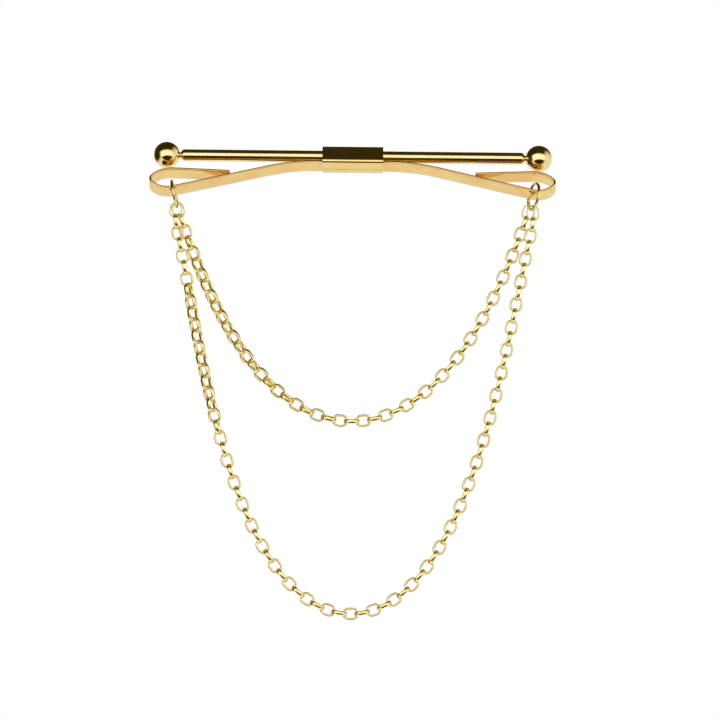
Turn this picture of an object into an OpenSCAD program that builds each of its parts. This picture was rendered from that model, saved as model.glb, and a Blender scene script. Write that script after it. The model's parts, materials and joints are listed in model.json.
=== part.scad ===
// Collar bar. A round bar with a ball at each end lies over a bent spring leaf,
// and one wrapped sleeve holds the two together. The ends of the leaf turn back
// under the balls, so a shirt collar is gripped between ball and leaf. A jump
// ring hangs on each end of the leaf, and two chains hang between the rings.
//
// The origin is the middle of the bar, +X runs along it and +Z is up, so that
// the chains hang down -Z. The bar, sleeve and leaf are drawn in a frame of
// their own, with the leaf straight below the bar, and then rolled about the
// bar's axis towards -Y by clip_roll.

/* [Bar] */
// Length of the round bar
bar_l = 51.8; // [40:0.1:70]
// Diameter of the round bar
bar_d = 1.8; // [1.4:0.05:2.4]
// Chamfer at each end of the bar
bar_chamfer = 0.4; // [0.05:0.05:0.4]

/* [Balls] */
// Diameter of each ball
ball_d = 4; // [3:0.1:6]
// Bare neck that shows between the bar's end and the ball
neck_l = 0.1; // [0.05:0.05:1]
// Diameter of the neck, which goes on as a spigot into the bar
neck_d = 0.9; // [0.5:0.05:1.1]
// Length of the spigot inside the bar
spigot_l = 1.6; // [0.8:0.1:3]

/* [Sleeve] */
// Length of the sleeve along the bar
sleeve_l = 9.15; // [6:0.05:14]
// Room between the leaf's edge and the sleeve's inside, on each side
sleeve_room = 0.085; // [0.02:0.005:0.3]
// Thickness of the sheet that the sleeve is bent from
sheet_t = 0.24; // [0.15:0.01:0.35]
// Outside radius of the two bends over the bar
shoulder_r = 0.9; // [0.5:0.05:1.1]
// Outside radius of the two bends under the leaf
heel_r = 0.3; // [0.25:0.01:0.5]
// How deep the crimp dips the sleeve's top at the middle
crimp_dip = 0.08; // [0.02:0.01:0.12]
// Width of the seam where the sheet's edges meet
seam_w = 0.06; // [0.03:0.01:0.15]
// How far the seam lies behind the middle of the underside
seam_off = 0.36; // [0:0.02:0.9]

/* [Spring leaf] */
// Width of the leaf
leaf_w = 2.85; // [2.2:0.05:2.95]
// Thickness of the leaf
leaf_t = 0.35; // [0.2:0.01:0.5]
// Gap between the bar and the leaf, which the sleeve's inner fold fills
leaf_gap = 0.5; // [0.3:0.05:1]
// Mouth between each ball and the crest of the leaf below it
mouth_gap = 0.89; // [0.4:0.01:2]
// How far the leaf reaches out beyond each ball
overhang = 0.45; // [0.1:0.05:2]
// Straight stretch between the sleeve and the leaf's first bend
lead_l = 0.69; // [0.2:0.01:3]
// Radius of the bend beside the sleeve
lead_r = 30; // [15:1:36]
// Radius of the bend that carries the jump ring
toe_r = 3.2; // [2:0.1:4]
// Radius of the tight bend at the leaf's outer end
nose_r = 0.75; // [0.5:0.05:1.2]
// Radius of the bend that rises under the ball
crest_r = 4.2; // [3:0.1:5]
// Length of the straight tongue that runs back from under the ball
tongue_l = 8.6; // [4:0.1:11]
// Angle at which the tongue falls away from the bar, in degrees
tongue_slope = 2.4; // [0:0.1:5]

/* [Jump rings] */
// Wire diameter of the jump rings
ring_wire = 0.46; // [0.35:0.01:0.6]
// Side play between the leaf's edges and the ring that hangs on it
ring_play = 0.12; // [0.1:0.005:0.2]
// Spare width of the more turned ring's hole at its middle, on each side
ring_spare = 0.07; // [0.06:0.005:0.1]
// How far the left ring's centre hangs inside the lowest point of the leaf
ring_back_left = 1.17; // [0.4:0.01:1.2]
// How far the right ring's centre hangs inside the lowest point of the leaf
ring_back_right = 0.67; // [0.4:0.01:1.2]
// Lean of both rings towards the middle, where the chains pull them, in degrees
ring_lean = 12; // [6:0.5:14]
// Turn of the left ring out of the leaf's cross plane, in degrees
ring_turn_left = 4; // [0:0.5:12]
// Turn of the right ring out of the leaf's cross plane, in degrees
ring_turn_right = 20; // [12:0.5:21]
// Width of the slit in each ring
ring_slit = 0.05; // [0.03:0.01:0.15]
// Place of the slit, from the ring's lowest point up its front, in degrees
slit_at = 58; // [45:1:80]

/* [Chains] */
// Outside length of a link
link_l = 2.43; // [2.3:0.01:2.6]
// Outside width of a link
link_w = 1.92; // [1.85:0.01:2]
// Thickness of a link's band, measured in the plane of the link
link_t = 0.27; // [0.22:0.01:0.28]
// Width of a link's band, measured along the link's hole
link_band = 0.58; // [0.45:0.01:0.6]
// Free play between two linked links
link_play = 0.14; // [0.12:0.005:0.2]
// Number of links in the longer chain
outer_links = 81; // [65:1:95]
// Number of links in the shorter chain
inner_links = 51; // [43:1:60]
// Free play of an end link on the wire of its jump ring
end_play = 0.14; // [0.12:0.01:0.3]
// How far the shorter chain pushes the longer one aside near a ring
push_out = 0.4; // [0.35:0.01:0.5]
// Distance from the ring at which that push is greatest
push_at = 2.7; // [2.5:0.1:3.5]
// Links that are grouped in one run, as near as the chains divide
run_links = 5; // [4:1:8]

/* [Pose] */
// Roll of the bar, sleeve and leaf about the bar's axis, in degrees
clip_roll = 30; // [20:1:35]

/* [Hidden] */
$fn = 48;
gold = "#e6c27a";

// Heights below the bar's axis, in the frame of the bar, sleeve and leaf
leaf_top = bar_d / 2 + leaf_gap;
leaf_z = -leaf_top - leaf_t / 2;
leaf_under = leaf_top + leaf_t;

// The sleeve's outside runs one sheet above the bar and one below the leaf
sleeve_top = bar_d / 2 + sheet_t;
sleeve_under = leaf_under + sheet_t;
sleeve_h = sleeve_top + sleeve_under;
sleeve_w = leaf_w + 2 * (sleeve_room + sheet_t);
fold_slot = 0.25;

// Clearance between the sleeve's end and a leg of the leaf, which can flex
leg_clear = 0.02;

// The leaf's outer end: it turns up, back over itself, and down into the tongue
turn = 45;
bend_step = 3;
hook_x = toe_r * sin(turn) + nose_r * (1 - sin(turn));
hook_rise = (toe_r + crest_r) * (1 - cos(turn)) + 2 * nose_r * cos(turn);

// Below the flat middle by leaf_drop at its lowest, so that the mouth comes true
leaf_reach = bar_l / 2 + neck_l + ball_d + overhang;
leaf_drop = ball_d / 2 + mouth_gap + hook_rise - leaf_top;
toe_x = leaf_reach - hook_x;
toe_top = leaf_top + leaf_drop;

// One straight stretch touches the bend beside the sleeve and the toe's bend
leg_start = sleeve_l / 2 + leg_clear;
bends_r = lead_r + toe_r;
bends_x = toe_x - leg_start - lead_l;
bends_z = bends_r - leaf_drop;
bends_apart = norm([bends_x, bends_z]);
leaf_slope = asin(bends_r / bends_apart) - atan2(bends_z, bends_x);
fall_l = sqrt(pow(bends_apart, 2) - pow(bends_r, 2));
leg_path = [
    [lead_l, 0],
    [lead_r, -leaf_slope],
    [fall_l, 0],
    [toe_r, leaf_slope + turn],
    [nose_r, 180 - 2 * turn],
    [crest_r, turn + tongue_slope],
    [tongue_l, 0]
];

// How much higher the leaf's top is at a distance inside its lowest point
function leaf_rise(back) =
    let (r = toe_r - leaf_t / 2)
    let (bend = r * sin(leaf_slope))
    back < bend ? r - sqrt(r * r - back * back)
    : r * (1 - cos(leaf_slope)) + (back - bend) * tan(leaf_slope);

// Jump rings: mean radius, and how far up its own lean a ring meets the leaf
function ring_back(side) = side < 0 ? ring_back_left : ring_back_right;
function ring_turn(side) = side < 0 ? -ring_turn_left : ring_turn_right;
function ring_squeeze(side) = cos(ring_lean) * cos(ring_turn(side));
ring_r = (leaf_w / 2 + ring_play + ring_spare + ring_wire / 2)
    / min(ring_squeeze(-1), ring_squeeze(1));
function ring_half_w(side) = ring_r * ring_squeeze(side) - ring_wire / 2;
function ring_seat(side) = (ring_r - ring_wire / 2)
    * sqrt(1 - pow((leaf_w / 2 + ring_play) / ring_half_w(side), 2));

function about_x(v, a) = [v.x, v.y * cos(a) - v.z * sin(a), v.y * sin(a) + v.z * cos(a)];
function about_y(v, a) = [v.x * cos(a) + v.z * sin(a), v.y, v.z * cos(a) - v.x * sin(a)];
function about_z(v, a) = [v.x * cos(a) - v.y * sin(a), v.x * sin(a) + v.y * cos(a), v.z];
function degrees(radians) = radians * 180 / PI;

function ring_centre(side) =
    let (seat = ring_seat(side))
    let (rise = leaf_rise(ring_back(side) - seat * sin(ring_lean)))
    about_x([side * (toe_x - ring_back(side)), 0, rise - toe_top - seat * cos(ring_lean)], -clip_roll);

// A point on the wire's centre line, off sideways along the wire from its bottom
function wire_point(side, off) =
    let (a = degrees(off / ring_r))
    let (bottom = [0, ring_r * sin(a), -ring_r * cos(a)])
    ring_centre(side) + about_y(about_z(bottom, ring_turn(side)), side * ring_lean);

// Chains: the pitch of the links, and how far an end link's centre hangs below
// the wire of its ring. Side by side on the wire, the longer chain is in front.
link_pitch = link_l - 2 * link_t - link_play;
end_drop = link_l / 2 - link_t - ring_wire / 2 - end_play;
chain_side = (link_w + link_band) / 4;
outer_twist = [[0, 0], [0.07, 0], [0.1, 45], [0.2, 45], [0.25, 0]];
inner_twist = [[0, 0], [0.04, 0], [0.1, 45], [0.18, 45], [0.35, 20], [0.5, 0]];

function sinh(x) = (exp(x) - exp(-x)) / 2;
function asinh(x) = ln(x + sqrt(x * x + 1));
function atanh(x) = ln((1 + x) / (1 - x)) / 2;

// The catenary's parameter, found by halving: a smaller one hangs deeper
function sag(span, length, low, high, steps = 50) =
    let (mid = (low + high) / 2)
    steps == 0 ? mid
    : 2 * mid * sinh(span / mid / 2) > length ? sag(span, length, mid, high, steps - 1)
    : sag(span, length, low, mid, steps - 1);

// A chain is [start, plan angle, length, sag, lowest point's x and length, push]
function chain(links, off, push) =
    let (start = wire_point(-1, off))
    let (to_end = wire_point(1, off) - start)
    let (span = norm([to_end.x, to_end.y]))
    let (length = (links - 1) * link_pitch + 2 * end_drop)
    let (level = sqrt(length * length - to_end.z * to_end.z))
    let (a = sag(span, level, span / 100, span * 10))
    let (low_x = span / 2 - a * atanh(to_end.z / length))
    [start, atan2(to_end.y, to_end.x), length, a, low_x, a * sinh(low_x / a), push];

function shove(t) = t / push_at * exp(1 - t / push_at);

// A point on the chain's line, as [distance from its start, height]
function hang(c, s) =
    let (a = c[3])
    let (x = c[4] + a * asinh((s - c[5]) / a))
    let (aside = c[6] * (shove(c[2] - s) - shove(s)))
    [x + aside, sqrt(pow(s - c[5], 2) + a * a) - sqrt(c[5] * c[5] + a * a)];

outer_chain = chain(outer_links, -chain_side, push_out);
inner_chain = chain(inner_links, chain_side, 0);
outer_runs = round(outer_links / run_links);
inner_runs = round(inner_links / run_links);

function run_name(chain_name, run) = str(chain_name, "_run_", run < 9 ? "0" : "", run + 1);

module rolled() {
    rotate([-clip_roll, 0, 0]) children();
}

// A profile drawn with x across the leaf and y up, drawn out along the bar
module along_bar(l) {
    rotate([90, 0, 90]) linear_extrude(l, center = true) children();
}

module rounded_square(w, h, r) {
    square([w - 2 * r, h], center = true);
    square([w, h - 2 * r], center = true);
    for (x = [-1, 1], y = [-1, 1])
        translate([x * (w / 2 - r), y * (h / 2 - r)]) circle(r);
}

// Round bar with chamfered ends, bored at each end for a ball's spigot
module bar() {
    color(gold) rolled() rotate([0, 90, 0]) difference() {
        rotate_extrude() polygon([
            [0, -bar_l / 2],
            [bar_d / 2 - bar_chamfer, -bar_l / 2],
            [bar_d / 2, -bar_l / 2 + bar_chamfer],
            [bar_d / 2, bar_l / 2 - bar_chamfer],
            [bar_d / 2 - bar_chamfer, bar_l / 2],
            [0, bar_l / 2]
        ]);
        for (end = [-1, 1])
            translate([0, 0, end * bar_l / 2])
                cylinder(d = neck_d, h = 2 * spigot_l, center = true);
    }
}

// Ball whose turned neck goes on as the spigot inside the bar
module ball(side) {
    ball_x = bar_l / 2 + neck_l + ball_d / 2;
    color(gold) rolled() rotate([0, side * 90, 0]) {
        translate([0, 0, ball_x]) sphere(d = ball_d);
        translate([0, 0, bar_l / 2 - spigot_l])
            cylinder(d = neck_d, h = spigot_l + neck_l + ball_d / 4);
    }
}

// The sleeve's outline, drawn inset from its outside by the amount given
module sleeve_outline(inset) {
    w = sleeve_w - 2 * inset;
    h = sleeve_h - 2 * inset;
    translate([0, (sleeve_top - sleeve_under) / 2]) {
        rounded_square(w, h, shoulder_r - inset);
        translate([0, -h / 4]) rounded_square(w, h / 2, heel_r - inset);
    }
}

// Sheet wrapped round bar and leaf, with its inner edge folded in between them
module sleeve() {
    crimp_r = pow(sleeve_l / 2, 2) / crimp_dip / 2;
    color(gold) rolled() difference() {
        along_bar(sleeve_l) {
            difference() {
                sleeve_outline(0);
                sleeve_outline(sheet_t);
                translate([seam_off, -leaf_under - sheet_t / 2])
                    square([seam_w, 3 * sheet_t], center = true);
            }
            translate([fold_slot / 2, -bar_d / 2 - leaf_gap / 2])
                square([sleeve_w - sheet_t - fold_slot, leaf_gap], center = true);
        }
        translate([0, 0, sleeve_top + crimp_r - crimp_dip])
            rotate([90, 0, 0]) cylinder(r = crimp_r, h = 2 * sleeve_w, center = true, $fn = 720);
    }
}

// A strip is laid stretch by stretch from the origin. Each stretch is [length, 0],
// or [radius, angle] where a positive angle turns the strip upwards. Along the
// strip, a place is [point, heading].
function upward(heading) = [-sin(heading), cos(heading)];

function strip_place(start, stretch, share) =
    let (heading = start[1] + share * stretch[1])
    let (r = sign(stretch[1]) * stretch[0])
    stretch[1] == 0 ? [start[0] - share * stretch[0] * upward(heading + 90), heading]
    : [start[0] + r * (upward(start[1]) - upward(heading)), heading];

function strip_line(path, start = [[0, 0], 0], i = 0) =
    i == len(path) ? [start]
    : let (steps = max(1, ceil(abs(path[i][1]) / bend_step)))
    concat(
        [for (k = [0 : steps - 1]) strip_place(start, path[i], k / steps)],
        strip_line(path, strip_place(start, path[i], 1), i + 1)
    );

// Side view of a strip
module strip(path) {
    line = strip_line(path);
    polygon(concat(
        [for (p = line) p[0] + leaf_t / 2 * upward(p[1])],
        [for (i = [len(line) - 1 : -1 : 0]) line[i][0] - leaf_t / 2 * upward(line[i][1])]
    ));
}

module leaf_stretch(path) {
    rotate([90, 0, 0]) linear_extrude(leaf_w, center = true) strip(path);
}

// The flat stretch of leaf inside the sleeve
module leaf_middle() {
    color(gold) rolled() translate([-sleeve_l / 2, 0, leaf_z]) leaf_stretch([[sleeve_l, 0]]);
}

// One sprung leg of the leaf, from the sleeve's mouth to the tip of its tongue
module leaf_leg(side) {
    color(gold) rolled() mirror([side < 0 ? 1 : 0, 0, 0])
        translate([leg_start, 0, leaf_z]) leaf_stretch(leg_path);
}

// Round wire ring, slit on its front, that hangs round one leg of the leaf
module jump_ring(side) {
    color(gold) translate(ring_centre(side))
        rotate([0, side * ring_lean, 0]) rotate([0, 0, ring_turn(side)])
            difference() {
                rotate([0, 90, 0])
                    rotate_extrude() translate([ring_r, 0]) circle(d = ring_wire);
                rotate([-slit_at, 0, 0]) translate([0, 0, -ring_r])
                    cube([2 * ring_wire, ring_slit, 2 * ring_wire], center = true);
            }
}

// A link's band in section: flat inside and out, with round edges
module link_section() {
    edge = (link_band - link_t) / 2;
    square([link_t, 2 * edge], center = true);
    for (y = [-edge, edge]) translate([0, y]) circle(d = link_t);
}

// One link, with its length along X and its hole along Y
module link() {
    bow_r = (link_w - link_t) / 2;
    side_l = link_l - link_w;
    rotate([90, 90, 0]) {
        for (end = [0, 180])
            rotate([0, 0, end]) translate([0, side_l / 2, 0])
                rotate_extrude(angle = 180) translate([bow_r, 0]) link_section();
        for (x = [-bow_r, bow_r])
            translate([x, side_l / 2, 0]) rotate([90, 0, 0])
                linear_extrude(side_l) link_section();
    }
}

// One run of a chain's links, every other link a quarter turn round
module chain_run(c, links, twist, runs, run) {
    step = link_pitch / 4;
    first = round(links * run / runs);
    last = round(links * (run + 1) / runs) - 1;
    color(gold) translate(c[0]) rotate([0, 0, c[1]])
        for (i = [first : last]) {
            s = end_drop + i * link_pitch;
            at = hang(c, s);
            along = hang(c, s + step) - hang(c, s - step);
            translate([at.x, 0, at.y])
                rotate([0, -atan2(along.y, along.x), 0])
                    rotate([lookup(i / (links - 1), twist) + 90 * (i % 2), 0, 0]) link();
        }
}

bar();
ball(-1);  // ball_left
ball(1);  // ball_right
sleeve();
leaf_middle();
leaf_leg(-1);  // leaf_left
leaf_leg(1);  // leaf_right
jump_ring(-1);  // jump_ring_left
jump_ring(1);  // jump_ring_right
for (run = [0 : outer_runs - 1])
    chain_run(outer_chain, outer_links, outer_twist, outer_runs, run);
for (run = [0 : inner_runs - 1])
    chain_run(inner_chain, inner_links, inner_twist, inner_runs, run);
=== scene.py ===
"""Collar bar in polished gold plate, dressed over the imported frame."""

import json
import math

import bpy
import numpy as np
from mathutils import Matrix, Vector


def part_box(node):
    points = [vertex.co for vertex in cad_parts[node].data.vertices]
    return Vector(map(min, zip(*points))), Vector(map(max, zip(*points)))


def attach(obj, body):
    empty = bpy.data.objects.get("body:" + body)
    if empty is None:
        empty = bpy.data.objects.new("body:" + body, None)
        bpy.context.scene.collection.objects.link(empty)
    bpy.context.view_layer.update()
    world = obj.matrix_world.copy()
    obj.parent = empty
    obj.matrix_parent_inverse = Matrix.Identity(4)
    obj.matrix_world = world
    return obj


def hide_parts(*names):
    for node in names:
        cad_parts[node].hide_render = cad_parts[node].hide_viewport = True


MM = 0.001

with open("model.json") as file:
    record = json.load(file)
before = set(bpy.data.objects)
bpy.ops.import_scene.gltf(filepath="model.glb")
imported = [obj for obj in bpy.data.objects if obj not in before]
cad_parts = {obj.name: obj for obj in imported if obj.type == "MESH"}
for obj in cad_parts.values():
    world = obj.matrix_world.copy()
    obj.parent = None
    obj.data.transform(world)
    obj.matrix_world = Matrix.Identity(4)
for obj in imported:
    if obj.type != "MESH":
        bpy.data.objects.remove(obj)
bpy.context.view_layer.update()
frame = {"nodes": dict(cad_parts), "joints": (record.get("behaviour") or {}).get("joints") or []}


# The camera stands square in front of the bar, as far round as the photograph's.

PICTURE_WIDTH = 108.4 * MM
PICTURE_CENTRE = Vector((1.4, -400.0, -30.55)) * MM
PICTURE_ROLL = math.radians(-0.6)


def set_camera():
    """A long way off and without perspective, as a catalogue picture."""
    bpy.ops.object.camera_add(
        location=PICTURE_CENTRE, rotation=(math.pi / 2, PICTURE_ROLL, 0)
    )
    camera = bpy.context.object
    camera.data.type = "ORTHO"
    camera.data.ortho_scale = PICTURE_WIDTH
    camera.data.clip_start, camera.data.clip_end = 0.01, 10
    bpy.context.scene.camera = camera


# Finishes

# The part of the patches' noise that goes all the way from the tone to the deep tone
PATCHES_BETWEEN = (0.35, 0.65)
# The wheel's marks, before they are stretched
MARK_SCALE = 5200
RIPPLE_DEPTH = 0.1 * MM


def polish_group():
    """Plate as it leaves the polishing wheel: soft tone changes, haze and a faint ripple."""
    group = bpy.data.node_groups.new("wheel polish", "ShaderNodeTree")
    face = group.interface
    for name, kind, value in (
        ("Tone", "NodeSocketColor", (0.88, 0.64, 0.3, 1)),
        ("Deep Tone", "NodeSocketColor", (0.8, 0.52, 0.2, 1)),
        ("Patch Scale", "NodeSocketFloat", 250),
        ("Haze", "NodeSocketFloat", 0.06),
        ("Haze Spread", "NodeSocketFloat", 0.06),
        ("Stretch", "NodeSocketVector", (1, 1, 1)),
        ("Ripple", "NodeSocketFloat", 0.05),
        ("Ripple Scale", "NodeSocketFloat", 400),
    ):
        face.new_socket(name, in_out="INPUT", socket_type=kind).default_value = value
    face.new_socket("Color", in_out="OUTPUT", socket_type="NodeSocketColor")
    face.new_socket("Roughness", in_out="OUTPUT", socket_type="NodeSocketFloat")
    face.new_socket("Normal", in_out="OUTPUT", socket_type="NodeSocketVector")

    nodes, link = group.nodes, group.links.new
    given, result = nodes.new("NodeGroupInput"), nodes.new("NodeGroupOutput")
    place = nodes.new("ShaderNodeTexCoord")

    patches = nodes.new("ShaderNodeTexNoise")
    patches.inputs["Detail"].default_value = 2
    link(place.outputs["Object"], patches.inputs["Vector"])
    link(given.outputs["Patch Scale"], patches.inputs["Scale"])
    clearer = nodes.new("ShaderNodeMapRange")
    clearer.inputs["From Min"].default_value = PATCHES_BETWEEN[0]
    clearer.inputs["From Max"].default_value = PATCHES_BETWEEN[1]
    link(patches.outputs["Fac"], clearer.inputs["Value"])
    tone = nodes.new("ShaderNodeMix")
    tone.data_type = "RGBA"
    link(clearer.outputs["Result"], tone.inputs["Factor"])
    link(given.outputs["Tone"], tone.inputs["A"])
    link(given.outputs["Deep Tone"], tone.inputs["B"])
    link(tone.outputs["Result"], result.inputs["Color"])

    stretched = nodes.new("ShaderNodeVectorMath")
    stretched.operation = "MULTIPLY"
    link(place.outputs["Object"], stretched.inputs[0])
    link(given.outputs["Stretch"], stretched.inputs[1])
    marks = nodes.new("ShaderNodeTexNoise")
    marks.inputs["Scale"].default_value = MARK_SCALE
    marks.inputs["Detail"].default_value = 4
    link(stretched.outputs["Vector"], marks.inputs["Vector"])
    haze = nodes.new("ShaderNodeMath")
    haze.operation = "MULTIPLY_ADD"
    link(marks.outputs["Fac"], haze.inputs[0])
    link(given.outputs["Haze Spread"], haze.inputs[1])
    link(given.outputs["Haze"], haze.inputs[2])
    link(haze.outputs["Value"], result.inputs["Roughness"])

    ripple = nodes.new("ShaderNodeTexNoise")
    ripple.inputs["Detail"].default_value = 1
    link(place.outputs["Object"], ripple.inputs["Vector"])
    link(given.outputs["Ripple Scale"], ripple.inputs["Scale"])
    bump = nodes.new("ShaderNodeBump")
    bump.inputs["Distance"].default_value = RIPPLE_DEPTH
    link(ripple.outputs["Fac"], bump.inputs["Height"])
    link(given.outputs["Ripple"], bump.inputs["Strength"])
    link(bump.outputs["Normal"], result.inputs["Normal"])
    return group


WHEEL_POLISH = polish_group()


def gold(name, **values):
    """One piece's gold, with the polish's own values for it."""
    material = bpy.data.materials.new(name)
    material.use_nodes = True
    shader = material.node_tree.nodes["Principled BSDF"]
    shader.inputs["Metallic"].default_value = 1
    polish = material.node_tree.nodes.new("ShaderNodeGroup")
    polish.node_tree = WHEEL_POLISH
    for key, value in values.items():
        polish.inputs[key.replace("_", " ").title()].default_value = value
    link = material.node_tree.links.new
    link(polish.outputs["Color"], shader.inputs["Base Color"])
    link(polish.outputs["Roughness"], shader.inputs["Roughness"])
    link(polish.outputs["Normal"], shader.inputs["Normal"])
    return material


BAR_GOLD = gold(
    "bar gold", tone=(0.92, 0.75, 0.37, 1), deep_tone=(0.88, 0.69, 0.3, 1),
    haze=0.05, haze_spread=0.05, stretch=(0.05, 1, 1), ripple=0.02,
)
BALL_GOLD = gold(
    "ball gold", tone=(0.92, 0.75, 0.37, 1), deep_tone=(0.88, 0.69, 0.3, 1),
    haze=0.03, haze_spread=0.04, ripple=0.01,
)
SLEEVE_GOLD = gold(
    "sleeve gold", tone=(0.9, 0.69, 0.31, 1), deep_tone=(0.86, 0.62, 0.24, 1),
    haze=0.05, haze_spread=0.06, stretch=(1, 0.15, 0.15),
    ripple=0.12, ripple_scale=450,
)
LEAF_GOLD = gold(
    "leaf gold", tone=(0.87, 0.65, 0.27, 1), deep_tone=(0.83, 0.52, 0.19, 1),
    haze=0.06, haze_spread=0.06, stretch=(0.08, 1, 1),
    ripple=0.04, ripple_scale=150,
)
RING_GOLD = gold(
    "ring gold", tone=(0.88, 0.68, 0.3, 1), deep_tone=(0.82, 0.6, 0.22, 1),
    haze=0.05, haze_spread=0.06, ripple=0.03,
)
LINK_GOLD = gold(
    "link gold", tone=(1, 0.85, 0.4, 1), deep_tone=(0.97, 0.76, 0.26, 1),
    patch_scale=420, haze=0.17, haze_spread=0.08, ripple=0.06, ripple_scale=900,
)


# Working by hand

# Corners of CAD triangles that lie nearer than this are one point
SAME_POINT = 0.0002 * MM


def deselect():
    """Leaves edit mode, with nothing selected."""
    if bpy.context.object and bpy.context.object.mode == "EDIT":
        bpy.ops.object.mode_set(mode="OBJECT")
    bpy.ops.object.select_all(action="DESELECT")


def pick(piece):
    deselect()
    piece.select_set(True)
    bpy.context.view_layer.objects.active = piece


def pick_faces(piece, wanted):
    """Enters edit mode with the faces selected whose centre and normal are wanted."""
    pick(piece)
    bpy.ops.object.mode_set(mode="EDIT")
    bpy.ops.mesh.select_mode(type="FACE")
    bpy.ops.mesh.select_all(action="DESELECT")
    bpy.ops.object.mode_set(mode="OBJECT")
    for face in piece.data.polygons:
        face.select = wanted(face.center, face.normal)
    bpy.ops.object.mode_set(mode="EDIT")


def leave_edit():
    bpy.ops.object.mode_set(mode="OBJECT")


def settle(piece):
    """Puts a piece's place into its mesh."""
    pick(piece)
    bpy.ops.object.transform_apply(location=True, rotation=True, scale=True)


def finish_piece(piece, name, material, body, slot, *nodes, angle=30):
    piece.name = piece.data.name = name
    piece.data.materials.clear()
    piece.data.materials.append(material)
    pick(piece)
    bpy.ops.object.shade_smooth_by_angle(angle=math.radians(angle))
    bpy.ops.object.modifier_add(type="WEIGHTED_NORMAL")
    piece.modifiers[-1].keep_sharp = True
    bpy.ops.object.modifier_apply(modifier=piece.modifiers[-1].name)
    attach(piece, body)
    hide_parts(*nodes)


def copy_of_node(node):
    """A copy of a CAD node whose loose triangles are merged into closed faces."""
    deselect()
    cad = frame["nodes"][node]
    piece = bpy.data.objects.new(node + "_copy", cad.data.copy())
    bpy.context.scene.collection.objects.link(piece)
    pick(piece)
    bpy.ops.object.mode_set(mode="EDIT")
    bpy.ops.mesh.select_all(action="SELECT")
    bpy.ops.mesh.remove_doubles(threshold=SAME_POINT)
    leave_edit()
    return piece


def round_edges(piece, width, segments=3, angle=30):
    """Breaks the sharp edges of a piece, as tumbling does."""
    pick(piece)
    bpy.ops.object.modifier_add(type="BEVEL")
    bevel = piece.modifiers[-1]
    bevel.width = width
    bevel.segments = segments
    bevel.limit_method = "ANGLE"
    bevel.angle_limit = math.radians(angle)
    bevel.harden_normals = False
    bpy.ops.object.modifier_apply(modifier=bevel.name)


# Bar and balls

BAR_CHAMFER, BAR_EDGE = 0.4 * MM, 0.06 * MM
NECK_RADIUS = 0.45 * MM
ROUND_STEPS, BALL_RINGS = 96, 72


def make_bar():
    """A rod with a chamfer at each end, its edges broken on the wheel."""
    low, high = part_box("bar")
    length, radius = high.x - low.x, (high.z - low.z) / 2
    deselect()
    bpy.ops.mesh.primitive_cylinder_add(
        vertices=ROUND_STEPS, radius=radius, depth=length, rotation=(0, math.pi / 2, 0)
    )
    bar = bpy.context.object
    settle(bar)
    pick_faces(bar, lambda centre, normal: abs(normal.x) > 0.9)
    bpy.ops.mesh.bevel(offset=BAR_CHAMFER, segments=1, affect="EDGES")
    leave_edit()
    round_edges(bar, BAR_EDGE)
    finish_piece(bar, "bar_rod", BAR_GOLD, "clip", "bar_gold", "bar")


def make_ball(side, node):
    """A ball turned in one with its neck and the spigot that goes into the bar."""
    low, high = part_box(node)
    radius = (high.z - low.z) / 2
    tip, outside = sorted((abs(low.x), abs(high.x)))
    middle = side * (outside - radius)
    deselect()
    bpy.ops.mesh.primitive_uv_sphere_add(
        segments=ROUND_STEPS, ring_count=BALL_RINGS, radius=radius,
        location=(middle, 0, 0), rotation=(0, math.pi / 2, 0),
    )
    ball = bpy.context.object
    settle(ball)
    pick_faces(
        ball,
        lambda centre, normal: side * (centre.x - middle) < 0
        and math.hypot(centre.y, centre.z) < NECK_RADIUS,
    )
    bpy.ops.mesh.extrude_region_move(TRANSFORM_OT_translate={"value": (0, 0, 0)})
    bpy.ops.transform.resize(value=(0, 1, 1), center_override=(side * tip, 0, 0))
    leave_edit()
    finish_piece(ball, f"{node}_turned", BALL_GOLD, "clip", "bar_gold", node)


# Sleeve and spring leaf

# The clip is rolled towards the viewer. This takes a point back to where it stands square
ROLL_BACK = Matrix.Rotation(math.radians(30), 3, "X")
SLEEVE_HALF_WIDTH, SLEEVE_UNDER = 1.75 * MM, 1.99 * MM
HEEL, SOFT_HEEL = 0.3 * MM, 0.55 * MM
# How near a point of a heel lies to its arc, and to the lines where the arc starts
NEAR_ARC, NEAR_START = 0.002 * MM, 0.0001 * MM
SLEEVE_EDGE, LEAF_EDGE = 0.045 * MM, 0.14 * MM


def soften_heels(sleeve):
    """Eases the two outer bends under the leaf from a tight radius to a softer one."""
    grown = SOFT_HEEL / HEEL
    for v in sleeve.data.vertices:
        along, across, height = ROLL_BACK @ v.co
        out = abs(across) - (SLEEVE_HALF_WIDTH - HEEL)
        down = -height - (SLEEVE_UNDER - HEEL)
        off_arc = abs(math.hypot(out, down) - HEEL)
        if min(out, down) > -NEAR_START and off_arc < NEAR_ARC:
            half_width = SLEEVE_HALF_WIDTH - SOFT_HEEL + out * grown
            under = SLEEVE_UNDER - SOFT_HEEL + down * grown
            square = Vector((along, math.copysign(half_width, across), -under))
            v.co = ROLL_BACK.inverted() @ square


def make_sleeve():
    """Sheet folded round bar and leaf, with its cut edges broken."""
    sleeve = copy_of_node("sleeve")
    soften_heels(sleeve)
    round_edges(sleeve, SLEEVE_EDGE, angle=40)
    finish_piece(
        sleeve, "sleeve_sheet", SLEEVE_GOLD, "clip", "sleeve_gold", "sleeve", angle=40
    )


def make_leaf(node, body):
    """One stretch of the spring ribbon, with its edges drawn round."""
    leaf = copy_of_node(node)
    round_edges(leaf, LEAF_EDGE, segments=4, angle=40)
    finish_piece(leaf, f"{node}_ribbon", LEAF_GOLD, body, "leaf_gold", node)


# Jump rings

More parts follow.
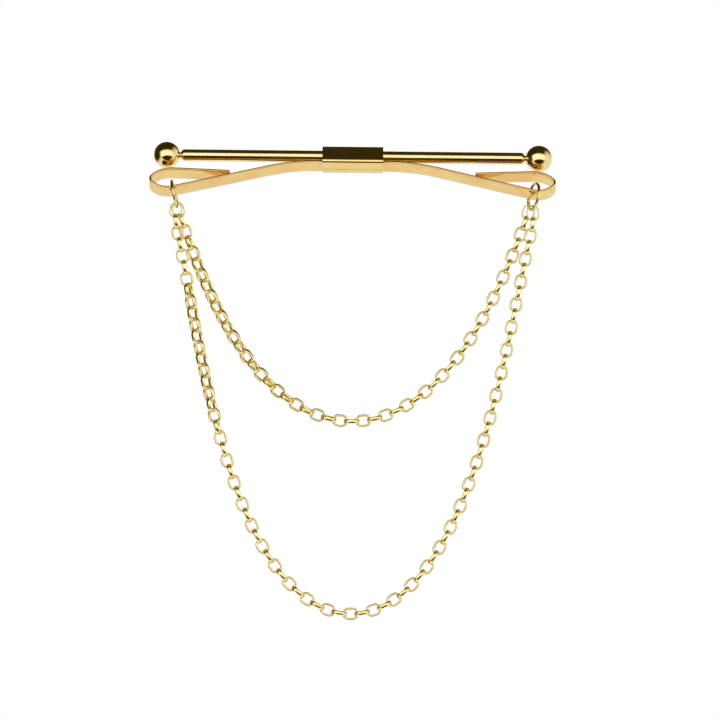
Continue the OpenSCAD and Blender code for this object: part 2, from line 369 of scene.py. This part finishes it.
RING_WIRE = 0.46 * MM
RING_STEPS, WIRE_STEPS = 120, 24
RING_LEAN = math.radians(12)
RING_TURN = {-1: math.radians(-4), 1: math.radians(20)}
SLIT, SLIT_AT = 0.05 * MM, math.radians(58)
SLIT_EDGE = 0.03 * MM


def joint_places(word):
    """Where the joints are whose moving body's name starts with a word."""
    return [Vector(j["pos_m"]) for j in frame["joints"] if j["child"].startswith(word)]


def make_ring(side, node):
    """A ring of round wire, sawn through at one place."""
    centre = joint_places(node)[0]
    reach = max((v.co - centre).length for v in frame["nodes"][node].data.vertices)
    deselect()
    bpy.ops.mesh.primitive_torus_add(
        major_segments=RING_STEPS, minor_segments=WIRE_STEPS,
        major_radius=reach - RING_WIRE / 2, minor_radius=RING_WIRE / 2,
    )
    ring = bpy.context.object
    for edge in (-SLIT / 2, SLIT / 2):
        pick_faces(ring, lambda at, normal: at.x > 0 and abs(at.y) < 4 * SLIT)
        bpy.ops.mesh.bisect(plane_co=(0, edge, 0), plane_no=(0, 1, 0))
        leave_edit()
    pick_faces(ring, lambda at, normal: at.x > 0 and abs(at.y) < SLIT / 2)
    bpy.ops.mesh.delete(type="FACE")
    bpy.ops.mesh.select_all(action="SELECT")
    bpy.ops.mesh.fill_holes(sides=0)
    leave_edit()
    round_edges(ring, SLIT_EDGE, segments=2, angle=50)
    # The slit starts out on +X: that turns down to -Z, then up the front, then with the ring
    lay = (
        Matrix.Translation(centre)
        @ Matrix.Rotation(side * RING_LEAN, 4, "Y")
        @ Matrix.Rotation(RING_TURN[side], 4, "Z")
        @ Matrix.Rotation(-SLIT_AT, 4, "X")
        @ Matrix.Rotation(math.pi / 2, 4, "Y")
    )
    ring.data.transform(lay)
    finish_piece(ring, f"{node}_wire", RING_GOLD, node, "ring_gold", node)


# Chains

LINK_LENGTH, LINK_WIDTH = 2.43 * MM, 1.92 * MM
LINK_STEPS, BAND_STEPS = 28, 10
# Thickness and width of the band. It is fuller towards the hole than the solid under it
FULL_BAND = (0.34 * MM, 0.68 * MM)
# The links on the jump rings stay slim, for their play on the wire
SLIM_BAND = (0.24 * MM, 0.52 * MM)
# Only a link on a jump ring has its centre nearer than this to the ring's
RING_NEAR = 3 * MM
# Points nearer than this to a link's middle plane stay there while its halves part
IN_MIDDLE = 0.001 * MM


def make_link(thick, band):
    """One link with its length along X and its hole along Z, from a torus pulled apart."""
    deselect()
    # Half a step round, so that no points lie on the plane where the link's ends part
    bpy.ops.mesh.primitive_torus_add(
        major_segments=LINK_STEPS, minor_segments=BAND_STEPS,
        major_radius=(LINK_WIDTH - thick) / 2, minor_radius=thick / 2,
        rotation=(0, 0, math.pi / LINK_STEPS),
    )
    link = bpy.context.object
    settle(link)
    for axis, pull in ((0, (LINK_LENGTH - LINK_WIDTH) / 2), (2, (band - thick) / 2)):
        for way in (-1, 1):
            pick(link)
            bpy.ops.object.mode_set(mode="EDIT")
            bpy.ops.mesh.select_mode(type="VERT")
            bpy.ops.mesh.select_all(action="DESELECT")
            leave_edit()
            for v in link.data.vertices:
                v.select = way * v.co[axis] > IN_MIDDLE
            bpy.ops.object.mode_set(mode="EDIT")
            step = [0, 0, 0]
            step[axis] = way * pull
            bpy.ops.transform.translate(value=step)
            leave_edit()
    return link


def link_places(node):
    """Where each link of a chain node lies, as a turn and a centre.

    A link spreads least along its hole and most along its length, so these come from its
    faces' second moments. A triangle's is its area times the squares of its corners and
    nine times that of its middle.
    """
    chain = copy_of_node(node)
    bpy.ops.object.mode_set(mode="EDIT")
    bpy.ops.mesh.separate(type="LOOSE")
    leave_edit()
    places = []
    for loose in bpy.context.selected_objects:
        loose.data.calc_loop_triangles()
        points = np.array([v.co for v in loose.data.vertices])
        corners = points[np.array([t.vertices for t in loose.data.loop_triangles])]
        area = np.array([t.area for t in loose.data.loop_triangles])
        middles = corners.mean(axis=1)
        centre = (middles * area[:, None]).sum(0) / area.sum()
        corners, middles = corners - centre, middles - centre
        spread = sum(
            np.einsum("t,ti,tj->ij", area, corners[:, k], corners[:, k]) for k in range(3)
        ) + 9 * np.einsum("t,ti,tj->ij", area, middles, middles)
        # eigh sorts the axes from the least spread to the most
        axes = np.linalg.eigh(spread)[1]
        hole, length = axes[:, 0], axes[:, 2]
        place = Matrix.Identity(4)
        for column, axis in enumerate((length, np.cross(hole, length), hole, centre)):
            for row in range(3):
                place[row][column] = axis[row]
        places.append(place)
    bpy.ops.object.delete()
    return places


def on_a_ring(place):
    rings = joint_places("jump_ring")
    return min((place.translation - ring).length for ring in rings) < RING_NEAR


def make_chain(prefix, body, full_link, slim_link):
    """A copy of a link in the place of every solid link, one piece to each CAD node."""
    for node in sorted(n for n in frame["nodes"] if n.startswith(prefix)):
        copies = []
        for place in link_places(node):
            mesh = (slim_link if on_a_ring(place) else full_link).data.copy()
            mesh.transform(place)
            one = bpy.data.objects.new("link", mesh)
            bpy.context.scene.collection.objects.link(one)
            copies.append(one)
        deselect()
        for one in copies:
            one.select_set(True)
        bpy.context.view_layer.objects.active = copies[0]
        bpy.ops.object.join()
        finish_piece(
            copies[0], f"{node}_links", LINK_GOLD, body, "chain_gold", node, angle=60
        )


# Studio

FLOOR_SIZE, FLOOR_PLACE = 1.6, (0, 0.2, -75 * MM)


def make_floor():
    """A pale floor under the longer chain, which the plate doesn't mirror."""
    deselect()
    bpy.ops.mesh.primitive_plane_add(size=FLOOR_SIZE, location=FLOOR_PLACE)
    floor = bpy.context.object
    floor.name = "floor"
    pale = bpy.data.materials.new("pale floor")
    pale.use_nodes = True
    nodes, link = pale.node_tree.nodes, pale.node_tree.links.new
    nodes["Principled BSDF"].inputs["Base Color"].default_value = (0.9, 0.9, 0.9, 1)
    nodes["Principled BSDF"].inputs["Roughness"].default_value = 0.8
    floor.data.materials.append(pale)
    floor.visible_glossy = False


LAMP = (1.35, 1.35, 1.4, 1)
PAPER = (0.95, 0.94, 0.9, 1)
BROWN = (0.14, 0.1, 0.02, 1)
SHADE = (0.034, 0.0235, 0.0065, 1)
# What the plate mirrors, by degrees about the bar: 0 towards the viewer, 90 up
CARDS = (
    (-180, PAPER), (-20, PAPER), (-2, LAMP), (34, LAMP), (46, PAPER), (55, SHADE),
    (150, SHADE), (164, BROWN), (174, PAPER),
)
# Three more cards lie over these, placed by how far a direction goes across, -1 to 1 from
# left to right, and back, -1 to 1 away from the viewer. Each edge fades between two values,
# first the one where the card is gone and then the one where it is whole.
# The camera's dark outline is an oval in front, by its middle and half size: across, and
# in radians about the bar
SPOT_ACROSS, SPOT_UP = (0.1, 0.75), (-0.44, 0.4)
SPOT_EDGE, SPOT_FRONT = (1.3, 0.75), (0.1, -0.1)
# A dark card closes the left end. It is wider behind, by this share of the way back
LEFT_EDGE, LEFT_BEND = (-0.72, -0.95), 0.25
# Paper lightens the right end
RIGHT_EDGE = (0.5, 1)


def set_studio():
    """Plain white all round. What polished metal mirrors has a studio's dark cards too."""
    world = bpy.data.worlds.new("studio")
    bpy.context.scene.world = world
    world.use_nodes = True
    tree = world.node_tree
    nodes, link = tree.nodes, tree.links.new
    plain = nodes["Background"]
    plain.inputs["Color"].default_value = (1, 1, 1, 1)
    plain.inputs["Strength"].default_value = 1

    def maths(operation, first, second=None):
        node = nodes.new("ShaderNodeMath")
        node.operation = operation
        for socket, value in zip(node.inputs, (first, second)):
            if isinstance(value, (int, float)):
                socket.default_value = value
            elif value is not None:
                link(value, socket)
        return node.outputs[0]

    def between(value, low, high):
        """0 at low and 1 at high, with a soft run from the one to the other."""
        node = nodes.new("ShaderNodeMapRange")
        node.interpolation_type = "SMOOTHSTEP"
        node.inputs["From Min"].default_value = low
        node.inputs["From Max"].default_value = high
        link(value, node.inputs["Value"])
        return node.outputs["Result"]

    def mixed(share, first, second):
        node = nodes.new("ShaderNodeMix")
        node.data_type = "RGBA"
        link(share, node.inputs["Factor"])
        for socket, value in ((node.inputs["A"], first), (node.inputs["B"], second)):
            if isinstance(value, tuple):
                socket.default_value = value
            else:
                link(value, socket)
        return node.outputs["Result"]

    def off_middle(value, middle, half_size):
        """How many half sizes a value is off the middle, squared."""
        offset = maths("DIVIDE", maths("SUBTRACT", value, middle), half_size)
        return maths("POWER", offset, 2)

    where = nodes.new("ShaderNodeTexCoord")
    parts = nodes.new("ShaderNodeSeparateXYZ")
    link(where.outputs["Generated"], parts.inputs[0])
    across, back, up = parts.outputs
    angle = maths("ARCTAN2", up, maths("MULTIPLY", back, -1))
    around = maths("ADD", maths("DIVIDE", angle, 2 * math.pi), 0.5)
    ramp = nodes.new("ShaderNodeValToRGB")
    elements = ramp.color_ramp.elements
    while len(elements) < len(CARDS):
        elements.new(0.5)
    for element, (place, colour) in zip(elements, CARDS):
        element.position = (place + 180) / 360
        element.color = colour
    link(around, ramp.inputs["Fac"])

    oval = maths("ADD", off_middle(across, *SPOT_ACROSS), off_middle(angle, *SPOT_UP))
    spot = maths("MULTIPLY", between(oval, *SPOT_EDGE), between(back, *SPOT_FRONT))
    bend = maths("MULTIPLY", maths("MAXIMUM", back, 0), LEFT_BEND)
    left_end = between(maths("SUBTRACT", across, bend), *LEFT_EDGE)
    cards = mixed(spot, ramp.outputs["Color"], SHADE)
    cards = mixed(left_end, cards, SHADE)
    cards = mixed(between(across, *RIGHT_EDGE), cards, PAPER)
    mirrored = nodes.new("ShaderNodeBackground")
    link(cards, mirrored.inputs["Color"])

    rays = nodes.new("ShaderNodeLightPath")
    either = nodes.new("ShaderNodeMixShader")
    link(rays.outputs["Is Glossy Ray"], either.inputs[0])
    link(plain.outputs[0], either.inputs[1])
    link(mirrored.outputs[0], either.inputs[2])
    link(either.outputs[0], nodes["World Output"].inputs["Surface"])


set_camera()
set_studio()
make_floor()
make_bar()
make_ball(-1, "ball_left")
make_ball(1, "ball_right")
make_sleeve()
make_leaf("leaf_middle", "clip")
make_leaf("leaf_left", "leaf_left")
make_leaf("leaf_right", "leaf_right")
make_ring(-1, "jump_ring_left")
make_ring(1, "jump_ring_right")
full, slim = make_link(*FULL_BAND), make_link(*SLIM_BAND)
make_chain("outer_chain_run", "outer_chain", full, slim)
make_chain("inner_chain_run", "inner_chain", full, slim)
bpy.data.objects.remove(full)
bpy.data.objects.remove(slim)

bpy.context.scene.view_settings.view_transform = "Standard"

bpy.context.view_layer.update()
